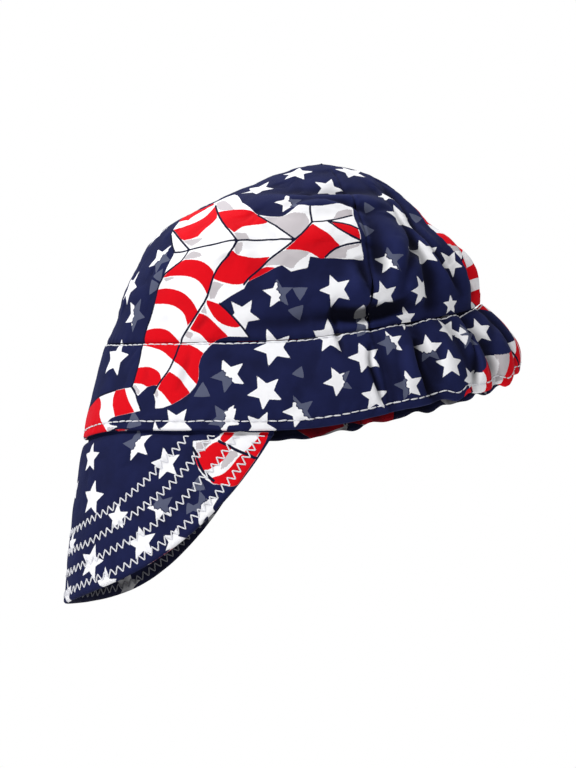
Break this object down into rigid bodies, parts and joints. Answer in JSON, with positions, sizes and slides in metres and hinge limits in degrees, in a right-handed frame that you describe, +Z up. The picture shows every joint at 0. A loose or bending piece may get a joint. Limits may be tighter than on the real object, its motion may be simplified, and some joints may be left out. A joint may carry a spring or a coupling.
{
  "type": "welding cap",
  "caption": "Soft cotton welding cap with a panelled crown, a gathered back band and a long quilted peak, in a stars-and-stripes print.",
  "frame": {"origin": "the middle of the head opening, level with the rim at the front", "axes": "+Z up as worn; -Y the front, where the peak is; +X the wearer's left"},
  "size_m": [0.1454, 0.2282, 0.2203],
  "materials": {
    "printed_cotton": "matte",
    "quilted_cotton": "matte"
  },
  "bodies": {
    "root": {"crown_front_left": "printed_cotton", "crown_front_right": "printed_cotton", "crown_back_left": "printed_cotton", "crown_back_right": "printed_cotton", "band_front": "printed_cotton", "band_back": "printed_cotton", "peak": "quilted_cotton"}
  },
  "joints": []
}
